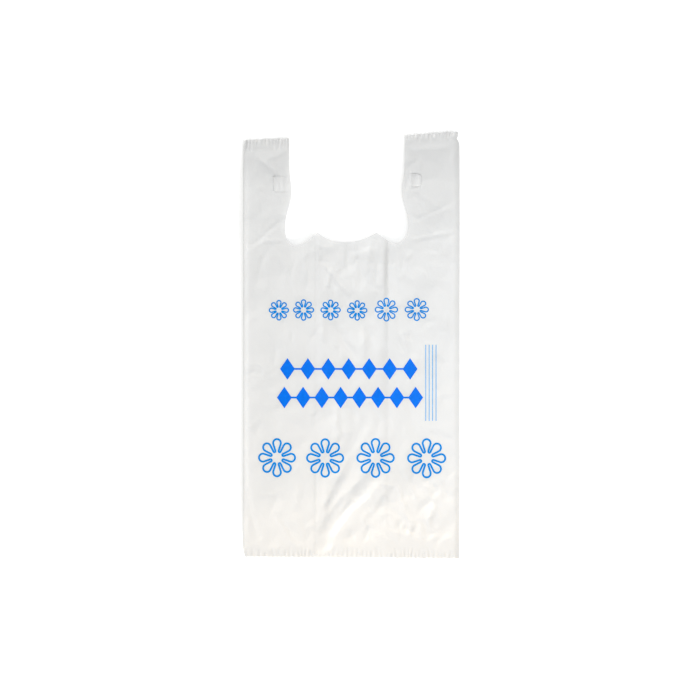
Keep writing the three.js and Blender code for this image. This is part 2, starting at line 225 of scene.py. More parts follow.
def slot_loop(slot):
    """The slit's outline: along its outer side round to the far arm, and back along its inner side."""
    away = 1.0 if slot["closed"] > slot["hinge"] else -1.0
    middle = (slot["low"] + slot["high"]) / 2

    def mirrored(points):
        return [(x, 2 * middle - y) for x, y in points[::-1]]

    outer, inner = slot_half(slot, 0.0, away), slot_half(slot, slot["slit"], away)
    corners = [*mirrored(outer), *outer, *inner[::-1], *mirrored(inner)[::-1]]
    return along([*corners, corners[0]], EDGE_STEP)


def top_edge(x):
    """The height of the handles' tops."""
    return np.where(x < 0, np.interp(x, *LEFT_TOP_LINE), np.interp(x, *RIGHT_TOP_LINE))


def bottom_edge(x):
    return np.interp(x, [-HALF_WIDTH, HALF_WIDTH], [BOTTOM_LEFT_Y, BOTTOM_RIGHT_Y])


def hex_points(step, rise, x_range, y_range):
    """Points in rows, with each second row half a step across."""
    points = []
    for k, y in enumerate(np.arange(*y_range, rise)):
        x = np.arange(x_range[0] + (k % 2) * step / 2, x_range[1], step)
        points.append(np.stack([x, np.full_like(x, y)], axis=1))
    return np.concatenate(points)


def in_fine_zone(points):
    """Which points lie near a seal or a slot, where the film is divided more finely."""
    x, y = points[:, 0], points[:, 1]
    zone = (y < bottom_edge(x) + SEAL_ZONE) | (y > top_edge(x) - SEAL_ZONE)
    for slot in SLOTS:
        from_middle = np.abs(x - (slot["closed"] + slot["hinge"]) / 2)
        beside = (y > slot["low"] - SLOT_MARGIN) & (y < slot["high"] + SLOT_MARGIN)
        zone |= (from_middle < SLOT_ZONE) & beside
    return zone


def inner_points(outline, loops):
    """Points all over the film, clear of its edges, slots and inner folds."""
    x_range, y_range = (-HALF_WIDTH, HALF_WIDTH), (BOTTOM_RIGHT_Y, HIGHEST_Y)
    coarse = hex_points(FILM_STEP, FILM_STEP * TRIANGLE_RISE, x_range, y_range)
    fine = hex_points(SEAL_STEP, SEAL_STEP * SEAL_STRETCH, x_range, y_range)
    points = np.concatenate([coarse[~in_fine_zone(coarse)], fine[in_fine_zone(fine)]])
    points = points[inside(points, outline)]
    clear = distance_to(points, outline) > EDGE_CLEARANCE
    for loop in loops:
        clear &= distance_to(points, loop) > SLOT_CLEARANCE
    clear &= np.abs(np.abs(points[:, 0]) - INNER_FOLD_X) > FOLD_CLEARANCE
    return points[clear]


def inner_fold_line(side, outline):
    """Points along a gusset's inner fold."""
    x = side * INNER_FOLD_X
    line = along([(x, BOTTOM_RIGHT_Y + FOLD_LINE_INSET), (x, FOLD_LINE_TOP)], FILM_STEP)
    return line[inside(line, outline)]


def chain_links(chains, closed):
    """Links between neighbours along chains. The first chains, as many as closed says, are loops."""
    links = []
    start = 0
    for index, chain in enumerate(chains):
        end = start + len(chain)
        links += [(i, i + 1) for i in range(start, end - 1)]
        if index < closed:
            links.append((end - 1, start))
        start = end
    return links


def triangulate(points, links):
    """Flat triangles over all the points, with the links among their edges."""
    flat = [Vector(p) for p in points]
    vertices, _, faces, *_ = delaunay_2d_cdt(flat, links, [], 0, SAME_POINT)
    return np.array([tuple(v) for v in vertices]), np.array([f for f in faces if len(f) == 3])


def film_triangles():
    """The flat triangles that every layer of the bag shares."""
    outline = bag_outline()
    loops = [slot_loop(slot) for slot in SLOTS]
    chains = [outline, *loops, *[inner_fold_line(side, outline) for side in (-1, 1)]]
    points = np.concatenate([*chains, inner_points(outline, loops)])
    vertices, faces = triangulate(points, chain_links(chains, 1 + len(loops)))
    middle = vertices[faces].mean(axis=1)
    keep = inside(middle, outline)
    for loop in loops:
        keep &= ~inside(middle, loop)
    return vertices, faces[keep]


# The creases of the front film, placed as they lie. Each is a path, its height, and the width of its left
# and of its right slope along the path. A last number says how sharp its line is, where it isn't soft.
SOFT_CREASE = 1.9
CREASE_FADE = 0.8
CREASES = [
    # the large diagonal fold below the middle flowers: a dark side, a broad top and a bright strip
    (
        [(25.1, -132.4), (4.6, -158.1), (-6.4, -178.6), (-16, -194.4), (-30, -222), (-41, -262)],
        3.2,
        15,
        9,
        1,
    ),
    ([(46.5, -162), (17, -197), (-2, -214), (-17.5, -233), (-30, -252), (-49, -305)], 4.3, 10, 14, 1),
    ([(39.8, -168.4), (19.7, -208.6), (-1.7, -243.5), (-13.8, -273)], -0.9, 9, 12, 1),
    ([(22.4, -97.4), (3.6, -133.6), (-9.8, -163.1)], 2.2, 9, 12, 1),
    ([(-15.1, -98.8), (-23.2, -144.3)], -0.9, 6, 8, 1.1),
    # below the mouth
    ([(49.8, 142.4), (49.5, 110.3), (49, 58)], 2.5, 15, 5.6, 1.3),
    ([(-43.3, 135.7), (-43.3, 104.9)], -1.21, 4.35, 4.35, 1.6),
    ([(-40.6, 113), (-28.5, 95.5), (-17.8, 82.1), (-1.7, 64.7)], -1.66, 6.53, 4.35, 1.6),
    ([(-27.2, 102.2), (-33.9, 67.4)], -1.21, 4.35, 4.9, 1.6),
    ([(-33.9, 110.3), (-27.2, 87.5), (-20.5, 64.7)], 1.14, 4.9, 5.44, 1.6),
    ([(-5.6, 138.4), (-5.2, 118.3), (-4.4, 96.9)], 1.6, 12, 4.2, 1.3),
    ([(0.9, 131.7), (10.3, 110.3), (17, 80.8)], 1.21, 6.53, 5.44, 1.6),
    ([(26.4, 139.8), (23.7, 118.3), (19.7, 91.5)], -1.43, 5.44, 5.44, 1.6),
    ([(34.4, 131.7), (35.8, 110.3), (33.1, 80.8)], 0.91, 5.44, 4.35, 1.6),
    ([(62.6, 126.4), (70.6, 110.3), (65.3, 91.5)], 0.91, 5.44, 5.44, 1.6),
    ([(67.9, 129), (74.6, 115.6), (81.3, 126.4)], -0.84, 3.81, 3.81, 1.6),
    ([(-108.9, 131.7), (-119.7, 110.3), (-127.7, 75.4)], 0.68, 6.53, 6.53, 1.6),
    ([(-74.1, 118.3), (-82.1, 91.5), (-79.5, 64.7)], 0.6, 6.53, 6.53, 1.6),
    ([(-60.7, 126.4), (-63.4, 80.8)], -0.68, 5.44, 5.44, 1.6),
    # the middle
    ([(-25.9, 29.9), (-8.4, 3.1), (9, -23.7)], 2.31, 11.2, 9.6),
    ([(-37.9, 54), (-37.9, -2.3)], -1.58, 8, 9.6),
    ([(17, 29.9), (17, -15.7)], -1.58, 8, 8),
    ([(3.6, 43.3), (25.1, 11.1), (33.1, -21)], 1.37, 9.6, 9.6),
    ([(-19.2, -82.7), (-20.5, -114.8)], -1.68, 8, 8),
    ([(-7.1, -80), (5, -96.1), (0.9, -117.5)], 1.37, 8, 8),
    ([(27.7, -80), (38.5, -101.4), (30.4, -128.2)], 1.16, 9.6, 9.6),
    ([(67.9, 19.2), (76, -15.7)], -0.95, 8, 8),
    ([(-111.6, 19.2), (-100.9, -7.6), (-106.3, -45.2)], 0.95, 9.6, 9.6),
    ([(-46.8, -128.2), (-46.8, -270.3)], 0.95, 3.8, 6.2),
    ([(-32.6, -179.2), (-35.2, -224.7), (-39.3, -262.2)], -1.26, 8, 8),
    # the lower left
    ([(-97.5, -226.1), (-86.5, -246.2), (-70.4, -269)], 1.9, 11.6, 5.2, 1.4),
    ([(-113.6, -246.2), (-104.2, -274.3)], 0.8, 9.6, 11.2),
    ([(-139.8, -179.2), (-135.7, -227.4), (-125, -264.9)], 1.37, 8, 9.6),
    ([(-113, -200.6), (-100.9, -201.9)], -0.6, 3.2, 3.2),
    ([(-95.5, -195.2), (-111.6, -235.4)], 1.05, 11.2, 11.2),
    ([(-68.7, -187.2), (-76.8, -224.7)], -0.95, 9.6, 9.6),
    # the lower right
    ([(33.4, -183.8), (50.5, -189.6), (60.6, -190.6)], -1.0, 5, 5),
    ([(60.5, -184), (66, -204), (76.6, -232)], -1.7, 5.5, 5),
    ([(76, -183.9), (82.7, -196.3), (86.4, -209)], -1.3, 4.5, 4.5),
    ([(110.8, -204.6), (97.4, -216.7), (89.4, -230.1)], 1.6, 9.6, 9.6),
    ([(54.5, -219.4), (67.9, -235.4), (62.6, -254.2)], 2.21, 9.6, 9.6),
    ([(69.3, -246.2), (88, -254.2)], 1.89, 8, 9.6),
    ([(70.6, -224.7), (81.3, -240.8), (76, -262.2)], -1.68, 8, 8),
    ([(17, -266.3), (23.7, -247.5), (31.8, -263.6)], 2.31, 6.4, 6.4),
    ([(30.4, -248.8), (34.4, -262.2)], -1.58, 5.6, 5.6),
    ([(33.1, -254.2), (43.8, -268.9), (51.9, -283.7)], -3.15, 11.2, 9.6),
    ([(130.9, -246.2), (116.2, -263.6), (105.5, -278.3)], 1.6, 11.2, 9.6),
    ([(97.4, -179.2), (113.5, -192.6), (108.1, -206)], 1.78, 9.6, 9.6),
    ([(113.5, -215.3), (102.8, -235.4), (108.1, -254.2)], -1.78, 8, 8),
    ([(124.2, -181.8), (128.2, -211.3)], 1.47, 9.6, 8),
    ([(89.4, -235.4), (97.4, -262.2)], -1.68, 8, 8),
    ([(43.8, -203.3), (34.4, -224.7)], 1.47, 8, 8),
    ([(22.4, -219.4), (14.3, -243.5)], -1.26, 8, 8),
    ([(0.9, -248.8), (-5.8, -273)], 1.47, 8, 9.6),
    # the left handle
    ([(-123.7, 249.6), (-102.2, 257.7), (-82.1, 265.7)], -2.73, 9.6, 9.6),
    ([(-127.7, 256.3), (-113, 241.6), (-99.6, 224.2)], -1.99, 9.6, 8),
    ([(-86.2, 171.9), (-111.6, 150.5), (-137.1, 129)], 0.65, 4.8, 4.4, 1.5),
    ([(-88.8, 139.8), (-118.3, 137.1), (-137.1, 125)], -0.7, 5, 5, 1.6),
    ([(-127.7, 206.8), (-119.7, 185.3), (-127.7, 163.9)], 0.4, 9.6, 9.6),
    # the right handle, and the small ripples beside its slot
    ([(73.3, 162.5), (108.1, 176.4), (144.3, 194.4)], 0.6, 4.2, 4.2, 1.5),
    ([(73.3, 138.4), (108.1, 145.1), (144.3, 151.8)], -0.75, 4.6, 4.2, 1.6),
    ([(137.5, 262), (136.2, 248), (136.8, 233)], -1.0, 5, 4.2, 1.7),
    ([(76, 261.7), (105.5, 265.7), (136.3, 263)], -0.4, 9.6, 14.4),
    ([(76, 204.1), (92.1, 192), (96.1, 175.9)], 0.95, 8, 9.6),
    ([(73.6, 238), (73.4, 204)], 0.75, 2.2, 2.2, 1.4),
    ([(77, 236), (76.8, 206)], 0.6, 2, 2, 1.4),
    ([(80.4, 233), (80.2, 208)], -0.8, 2.2, 2, 1.4),
    ([(86.7, 228.2), (86.7, 210.8)], 0.84, 5.6, 5.6),
    # the ripples beside the left slot
    ([(-100.2, 226.5), (-100.6, 203)], 0.45, 2.2, 2.2, 1.4),
    ([(-95.6, 227), (-95.2, 202)], 0.55, 2.4, 2.2, 1.4),
    ([(-91.2, 226.5), (-91.4, 203)], -0.45, 2.2, 2.4, 1.4),
    ([(-87.6, 228.2), (-87.2, 201.4)], 0.65, 2.2, 2.2, 1.4),
]


# Heights between the layers.
POUCH_HEIGHT = 6.4
GUSSET_RIDGE = 0.8
RIGHT_RIDGE_GAIN = 0.8
LEFT_RIDGE = 0.8
LAYER_GAP = 0.35
LAYER_GAP_SHARE = 4.0
GUSSET_SHARE = 0.46
SEAL_STACK = 0.3
SEAL_STACK_BASE = 0.6
TABLE_GAP = 0.06
LIFT_HEIGHT = 0.22
DROOP_HEIGHT = 1.5

# Ramps over the bag: the place where each starts, and its length.
STEP_WIDENS = (60.0, 120.0)
RIGHT_RIDGE_GROWS = (-40.0, 120.0)
HANDLES_FLATTEN = (131.0, 110.0)
SIDES_SINK = (161.0, 60.0)
GUSSET_OPENS = (128.0, 40.0)
BEAD_ENDS = (0.6, 8.0)
FOLDS_FROM_SIDE = (0.0, 5.0)
FOLDS_FROM_SEAL = (2.0, 12.0)
DROOP_STARTS = (0.0, 15.0)
DROOP_ENDS = (15.0, 55.0)
BOTTOM_OPENS = (4.0, 100.0)
BOTTOM_OPENS_POWER = 0.8
TOP_FLAT = 7.0
TOP_RAMP = 58.0

# The step over a gusset's inner fold: its width on each side of the bag, and how much wider it gets below.
LEFT_STEP = 7.0
RIGHT_STEP = 5.0
LOWER_STEP = 7.0

# How much flatter the handles and the sides are.
HANDLE_FLATNESS = 0.3
SIDE_SINK = 0.35
SIDE_SINK_WIDTH = 70.0

# The bead along each side fold: its height, width and sharpness, and for the left one its rounded rim.
LEFT_BEAD_HEIGHT = 1.8
LEFT_RIM_HEIGHT = 0.9
LEFT_RIM_WIDTH = 1.4
RIGHT_BEAD_HEIGHT = 1.9
RIGHT_BEAD_WIDTH = 9.0
RIGHT_BEAD_POWER = 1.5

# Long smooth waves: the height of each, how it runs across and along the bag, its pitch and its seed.
BROAD_WAVES = [(0.6, 1.0, 0.35, 130.0, 51), (0.5, -0.2, 1.0, 170.0, 52)]
LIFT_WAVE = (1.0, 1.0, -0.6, 60.0, 53)
BEND_ACROSS = (1.0, 0.3, 1.0, 19.0, 54)
BEND_ALONG = (1.0, 1.0, -0.2, 23.0, 55)

# Where the film is more crumpled: a share, the middle of the place, and its reach across and along.
CROWD = 0.35
CROWDED_PLACES = [(0.65, (85, -220), (60, 60)), (0.3, (0, 100), (60, 45))]
LIVELINESS = 0.5
LIVELY_PLACES = [(0.8, (75, -215), (62, 60)), (0.55, (0, 80), (60, 70))]

# The facets of crumpled film: the height, pitch, stretch along the bag and seed of the larger ones, and
# the same for the small ones, with the height they have everywhere and the one they gain.
LARGE_FACETS = [(1.0, 46.0, 1.9, 61), (1.1, 21.0, 2.2, 62)]
SMALL_FACETS = (10.5, 1.4, 63)
SMALL_FACET_BASE = 0.15
SMALL_FACET_GAIN = 0.42
FACET_SPREAD = 0.42
FACET_REACH_ACROSS = 190
FACET_REACH_ALONG = 330
ABOVE_FACETS = 5.0
FOLDS_AT_SIDE = 0.25

# The small random creases.
SMALL_CREASES = 170
SMALL_CREASE_SEED = 41
SMALL_CREASE_X = (-142, 142)
SMALL_CREASE_Y = (-280, 270)
SMALL_CREASE_LENGTH = (8, 34)
SMALL_CREASE_WIDTH = (3, 8)
SMALL_CREASE_HEIGHT = (0.25, 0.85)
SMALL_CREASE_BEND = 0.35
SMALL_CREASE_BASE = 0.7
SMALL_CREASE_GAIN = 0.5
ANY_DIRECTION_SHARE = 0.6
UPRIGHT_SPREAD = 0.35

# The puckers of a seal: ranges as shares of their pitch, reach and height, how far they lean, and how
# sharp they are.
RIPPLE_SPACING = (0.55, 1.45)
RIPPLE_WIDTH = (0.35, 0.6)
RIPPLE_LENGTH = (0.45, 1.35)
RIPPLE_HEIGHT = (0.35, 1.0)
RIPPLE_LEAN = 0.12
RIPPLE_POWER = 1.2
RIPPLE_FADE = 0.8
RIPPLE_OVERHANG = 3


def rising(values, start, length):
    """Grows smoothly from nothing at the start to one at a length beyond it."""
    return smooth((values - start) / length)


def falling(values, start, length):
    """Grows smoothly from nothing at the start to one at a length before it."""
    return smooth((start - values) / length)


def fading(values, length):
    """One at nothing, and nothing from the length on, in a straight line."""
    return np.clip(1.0 - values / length, 0.0, 1.0)


def long_wave(x, y, wave):
    height, across, up, pitch, seed = wave
    return height * wander(across * x + up * y, pitch, seed)


def crumpled(x, y, base, places):
    """How crumpled the film is: a base, and a share more around each of the places."""
    total = base
    for share, (middle_x, middle_y), (reach_x, reach_y) in places:
        total = total + share * np.exp(-(((x - middle_x) / reach_x) ** 2) - ((y - middle_y) / reach_y) ** 2)
    return total


def height_on(tree, x, y, above, beside):
    """A surface's height under a point, or for a point beside it, at its nearest place."""
    hit = tree.ray_cast(Vector((x, y, above)), Vector((0, 0, -1)))[0]
    if hit is None:
        hit = tree.find_nearest(Vector((x, y, beside)))[0]
    return hit.z


def nearest_on(points, path, spans, lengths, starts):
    """Each point's distance to a path, the side of it that the point lies on, and the place along it."""
    best = np.full(len(points), FAR)
    side, place = np.zeros(len(points)), np.zeros(len(points))
    for start, span, length, origin in zip(starts, spans, lengths, path):
        away = points - origin
        t = np.clip((away @ span) / length**2, 0.0, 1.0)
        offset = away - t[:, None] * span
        distance = np.linalg.norm(offset, axis=1)
        closer = distance < best
        best[closer] = distance[closer]
        side[closer] = np.sign(span[0] * offset[closer, 1] - span[1] * offset[closer, 0])
        place[closer] = start + t[closer] * length
    return best, side, place


def crease_height(x, y, path, height, left_width, right_width, power=SOFT_CREASE):
    """The height that one crease adds. It fades out at both ends of its path."""
    path = np.array(path, float)
    spans = np.diff(path, axis=0)
    lengths = np.linalg.norm(spans, axis=1)
    starts = np.concatenate([[0.0], np.cumsum(lengths)])
    reach = max(left_width, right_width)
    low, high = path.min(axis=0) - reach, path.max(axis=0) + reach
    near = np.flatnonzero((x > low[0]) & (x < high[0]) & (y > low[1]) & (y < high[1]))
    points = np.stack([x[near], y[near]], axis=1)
    distance, side, place = nearest_on(points, path, spans, lengths, starts)
    across = fading(distance, np.where(side > 0, left_width, right_width))
    fade = np.sin(np.pi * np.clip(place / starts[-1], 0.0, 1.0)) ** CREASE_FADE
    result = np.zeros_like(x)
    result[near] = height * across**power * (3 - across) / 2 * fade
    return result


def small_crease(x, y, crowd, source):
    """A short bent crease at a place."""
    if source.random() < ANY_DIRECTION_SHARE:
        angle = source.uniform(0, math.pi)
    else:
        angle = source.normal(math.pi / 2, UPRIGHT_SPREAD)
    half = source.uniform(*SMALL_CREASE_LENGTH) / 2
    bent = angle + source.normal(0, SMALL_CREASE_BEND)
    start = (x - math.cos(angle) * half, y - math.sin(angle) * half)
    end = (x + math.cos(bent) * half, y + math.sin(bent) * half)
    height = source.choice([-1.0, 1.0]) * source.uniform(*SMALL_CREASE_HEIGHT)
    height *= SMALL_CREASE_BASE + SMALL_CREASE_GAIN * crowd
    left_width, right_width = source.uniform(*SMALL_CREASE_WIDTH), source.uniform(*SMALL_CREASE_WIDTH)
    return [start, (x, y), end], height, left_width, right_width


def random_creases():
    """Small short creases, closer together in the lower right and around the mouth."""
    source = np.random.default_rng(SMALL_CREASE_SEED)
    creases = []
    while len(creases) < SMALL_CREASES:
        x, y = source.uniform(*SMALL_CREASE_X), source.uniform(*SMALL_CREASE_Y)
        crowd = crumpled(x, y, CROWD, CROWDED_PLACES)
        if source.random() <= crowd:
            creases.append(small_crease(x, y, crowd, source))
    return creases


def facets(x, y, pitch, stretch, seed):
    """The flat facets of crumpled film: heights between -1 and 1 at scattered points, and flat between."""
    source = np.random.default_rng(seed)
    along_reach = FACET_REACH_ALONG / stretch
    across_range, along_range = (-FACET_REACH_ACROSS, FACET_REACH_ACROSS), (-along_reach, along_reach)
    flat = hex_points(pitch, pitch * TRIANGLE_RISE, across_range, along_range)
    flat = flat + source.uniform(-FACET_SPREAD, FACET_SPREAD, flat.shape) * pitch
    flat[:, 1] *= stretch
    heights = source.uniform(-1.0, 1.0, len(flat))
    corners, _, faces, starts, *_ = delaunay_2d_cdt([Vector(p) for p in flat], [], [], 0, SAME_POINT)
    solid = [(c[0], c[1], heights[start[0]]) for c, start in zip(corners, starts)]
    tree = BVHTree.FromPolygons(solid, [tuple(f) for f in faces])
    return np.array([height_on(tree, a, b, ABOVE_FACETS, 0.0) for a, b in zip(x, y)])


def make_ripples(start, end, pitch, reach, height, seed):
    """The puckers that a heat seal leaves across its edge."""
    source = np.random.default_rng(seed)
    ripples = []
    x = start
    while x < end:
        x += source.uniform(*RIPPLE_SPACING) * pitch
        width = source.uniform(*RIPPLE_WIDTH) * pitch
        length = source.uniform(*RIPPLE_LENGTH) * reach
        rise = source.uniform(*RIPPLE_HEIGHT) * height
        ripples.append((x, width, length, rise, source.normal(0, RIPPLE_LEAN)))
    return ripples


BOTTOM_RIPPLES = make_ripples(start=-148, end=146, pitch=5.0, reach=13, height=2.0, seed=31)
LEFT_RIPPLES = make_ripples(start=-148, end=-80, pitch=4.6, reach=18, height=3.4, seed=32)
RIGHT_RIPPLES = make_ripples(start=68, end=146, pitch=4.6, reach=9, height=3.9, seed=33)
ALL_CREASES = CREASES + random_creases()


def ripple_height(x, y):
    """The height of the seals' puckers."""
    total = np.zeros_like(x)
    up, down = y - bottom_edge(x), top_edge(x) - y
    for ripples, away in ((BOTTOM_RIPPLES, up), (LEFT_RIPPLES, down), (RIGHT_RIPPLES, down)):
        for centre, width, length, height, lean in ripples:
            ridge = fading(np.abs(x - centre - lean * away), width) ** RIPPLE_POWER
            fade = fading(away, length) ** RIPPLE_FADE
            total = np.maximum(total, height * ridge * fade * (away > -RIPPLE_OVERHANG))
    return total


def openness(x, y):
    """How far the bag stands open: nothing at its seals, and one well away from them."""
    low = rising(y - bottom_edge(x), *BOTTOM_OPENS) ** BOTTOM_OPENS_POWER
    return np.minimum(low, falling(y, top_edge(x) - TOP_FLAT, TOP_RAMP))


def flap_height(x, y):
    """The flap inside each slot's slit stands up or bulges a little."""
    total = np.zeros_like(x)
    for slot in SLOTS:
        away = (x - slot["hinge"]) / (slot["closed"] - slot["hinge"])
        half_slit = slot["slit"] / 2
        over = (away > 0) & (away < 1) & (y > slot["low"] + half_slit) & (y < slot["high"] - half_slit)
        away = np.clip(away, 0.0, 1.0)
        total += np.where(over, slot["lift"] * away**FLAP_BEND + slot["dome"] * np.sin(np.pi * away), 0.0)
    return total


def gusset_step(x, y):
    """Where the front film lies over a gusset: nothing between the inner folds, and one beyond them."""
    width = np.where(x > 0, RIGHT_STEP, LEFT_STEP) + LOWER_STEP * falling(y, *STEP_WIDENS)
    return smooth((np.abs(x) - INNER_FOLD_X) / width + 1.0)


def side_bead(x):
    """The bead along each side fold, where the film springs back."""
    from_side = HALF_WIDTH - np.abs(x)
    left = LEFT_BEAD_HEIGHT * (1.0 - rising(from_side, *BEAD_ENDS))
    left -= LEFT_RIM_HEIGHT * fading(from_side, LEFT_RIM_WIDTH) ** 2
    right = RIGHT_BEAD_HEIGHT * fading(from_side, RIGHT_BEAD_WIDTH) ** RIGHT_BEAD_POWER
    return np.where(x > 0, right, left)


def broad_rise(x, y, over_gusset):
    """How high the front film stands over the back film where the bag is open, without its folds."""
    right_ridge = 1.0 + RIGHT_RIDGE_GAIN * rising(y, *RIGHT_RIDGE_GROWS)
    ridge = GUSSET_RIDGE * over_gusset * np.where(x > 0, right_ridge, LEFT_RIDGE)
    broad = sum(long_wave(x, y, wave) for wave in BROAD_WAVES)
    flatness = 1.0 - HANDLE_FLATNESS * rising(y, *HANDLES_FLATTEN)
    at_side = fading(HALF_WIDTH - np.abs(x), SIDE_SINK_WIDTH) ** 2
    swell = 1.0 - SIDE_SINK * at_side * falling(y, *SIDES_SINK)
    return (POUCH_HEIGHT * swell + ridge + broad) * flatness + side_bead(x)


def fold_heights(x, y):
    """The height of all creases and facets together."""
    bent_x, bent_y = x + long_wave(x, y, BEND_ACROSS), y + long_wave(x, y, BEND_ALONG)
    folds = np.zeros_like(x)
    for crease in ALL_CREASES:
        folds += crease_height(bent_x, bent_y, *crease)
    lively = crumpled(x, y, LIVELINESS, LIVELY_PLACES)
    folds += lively * sum(height * facets(x, y, *kind) for height, *kind in LARGE_FACETS)
    folds += (SMALL_FACET_BASE + SMALL_FACET_GAIN * lively) * facets(x, y, *SMALL_FACETS)
    return folds


def front_rise(x, y, open_share):
    """How high the front film stands over the back film."""
    over_gusset = gusset_step(x, y)
    stack = SEAL_STACK * (SEAL_STACK_BASE + (1.0 - SEAL_STACK_BASE) * over_gusset)
    rise = stack + (broad_rise(x, y, over_gusset) - stack) * open_share
    off_side = FOLDS_AT_SIDE + (1.0 - FOLDS_AT_SIDE) * rising(HALF_WIDTH - np.abs(x), *FOLDS_FROM_SIDE)
    to_seal = np.minimum(y - bottom_edge(x), top_edge(x) - y)
    return np.maximum(rise + fold_heights(x, y) * off_side * rising(to_seal, *FOLDS_FROM_SEAL), stack)


def back_height(x, y, open_share):
    """The back film lies nearly flat on the table."""
    lift = LIFT_HEIGHT * (1.0 + long_wave(x, y, LIFT_WAVE)) * open_share
    from_top = top_edge(x) - y
    droop = DROOP_HEIGHT * rising(from_top, *DROOP_STARTS) * (1.0 - rising(from_top, *DROOP_ENDS))
    return TABLE_GAP + np.clip(lift, 0.0, None) + ripple_height(x, y) + droop


def gusset_gap(x, y, rise):
    """How far each gusset film lies from the film next to it."""
    inward = np.clip((HALF_WIDTH - np.abs(x)) / (HALF_WIDTH - INNER_FOLD_X), 0.0, 1.0)
    least = np.minimum(LAYER_GAP, rise / LAYER_GAP_SHARE)
    gap = least + (rise * GUSSET_SHARE - least) * inward * falling(y, *GUSSET_OPENS)
    return np.minimum(gap, rise * GUSSET_SHARE)


def layer_heights(x, y):
    """The heights of the front film, the upper and lower gusset films and the back film."""
    open_share = openness(x, y)
    rise, back = front_rise(x, y, open_share), back_height(x, y, open_share)
    gap = gusset_gap(x, y, rise)
    front = back + rise
    return front + flap_height(x, y), front - gap, back + gap, back


# The folds between the layers: strips with a tip line of their own.
SIDE_ZONE = 1.2
SIDE_FOLD_INSET = 1.5
SIDE_FOLD_TOP = 268.0
FOLD_TIP = 0.9
FOLD_TIP_SHARE = 0.5


def edge_uses(faces):
    """How the faces run along each edge: once along a rim, and twice inside."""
    uses = {}
    for a, b, c in faces:
        for i, j in ((a, b), (b, c), (c, a)):
            uses.setdefault((min(i, j), max(i, j)), []).append((i, j))
    return uses


def side_edges(x, y, uses):
    """The edges along the bag's two sides, between its seals."""
    lowest = bottom_edge(0) + SIDE_FOLD_INSET
    edges = []
    for (i, j), runs in uses.items():
        on_side = min(abs(x[i]), abs(x[j])) > HALF_WIDTH - SIDE_ZONE
        if len(runs) == 1 and on_side and min(y[i], y[j]) > lowest and max(y[i], y[j]) < SIDE_FOLD_TOP:
            edges.append(runs[0])
    return edges


def inner_edges(x, gusset_uses, uses):
    """The edges along the gussets' inner folds."""
    edges = []
    for (i, j), runs in gusset_uses.items():
        off_fold = max(abs(abs(x[i]) - INNER_FOLD_X), abs(abs(x[j]) - INNER_FOLD_X))
        if len(runs) == 1 and off_fold < ON_FOLD and len(uses[(i, j)]) == 2:
            edges.append(runs[0])
    return edges


def fold_tip(top, low, way):
    """The tip of a fold between two points that lie over one another."""
    gap = min(FOLD_TIP, FOLD_TIP_SHARE * abs(top[2] - low[2]))
    return ((top[0] + low[0]) / 2 + way * gap, (top[1] + low[1]) / 2, (top[2] + low[2]) / 2)


def fold_strip(layers, edges, above, below, sense, first):
    """The strip that joins two layers along a fold: its tips, numbered from the first, and its faces."""
    top, low = above * len(layers[0]), below * len(layers[0])
    numbers, tips, quads = {}, [], []
    for i, j in edges:
        way = sense * (1.0 if layers[0][i][0] > 0 else -1.0)
        for k in (i, j):
            if k not in numbers:
                numbers[k] = first + len(tips)
                tips.append(fold_tip(layers[above][k], layers[below][k], way))
        quads.append((j + top, i + top, numbers[i], numbers[j]))
        quads.append((numbers[j], numbers[i], i + low, j + low))
    return tips, quads


def fold_strips(layers, faces, gusset):
    """All the strips: along the sides outwards, and along the inner folds inwards."""
    x, y = layers[0][:, 0], layers[0][:, 1]
    uses = edge_uses(faces)
    sides, inner = side_edges(x, y, uses), inner_edges(x, edge_uses(gusset), uses)
    tips, quads = [], []
    for edges, above, below, sense in ((sides, 0, 1, 1), (sides, 2, 3, 1), (inner, 1, 2, -1)):
        first = len(layers) * len(x) + len(tips)
        strip_tips, strip_quads = fold_strip(layers, edges, above, below, sense, first)
        tips += strip_tips
        quads += strip_quads
    return tips, quads


def mesh_object(name, mesh_name, points, faces):
    mesh = bpy.data.meshes.new(mesh_name)
    mesh.from_pydata(points, [], faces)
    mesh.validate()
    mesh.shade_smooth()
    piece = bpy.data.objects.new(name, mesh)
    bpy.context.collection.objects.link(piece)
    return piece


def build_film():
    """The film, and its front as a surface that the print is laid on."""
    vertices, faces = film_triangles()
    x, y = vertices[:, 0], vertices[:, 1]
    layers = [np.stack([x, y, z], axis=1) for z in layer_heights(x, y)]
    gusset = faces[np.abs(x[faces].mean(axis=1)) > INNER_FOLD_X]
    tips, strips = fold_strips(layers, faces, gusset)
    points = np.concatenate([*layers, np.array(tips)])
    count = len(vertices)
    skins = [faces, gusset[:, ::-1] + count, gusset + 2 * count, faces[:, ::-1] + 3 * count]
    all_faces = [*np.concatenate(skins).tolist(), *strips]
    used = sorted({v for f in all_faces for v in f})
    index = {v: k for k, v in enumerate(used)}
    used_faces = [tuple(index[v] for v in f) for f in all_faces]
    film = mesh_object("carrier_bag_film", "film_bag_skin", (points[used] * MM).tolist(), used_faces)
    return film, BVHTree.FromPolygons((layers[0] * MM).tolist(), faces.tolist())


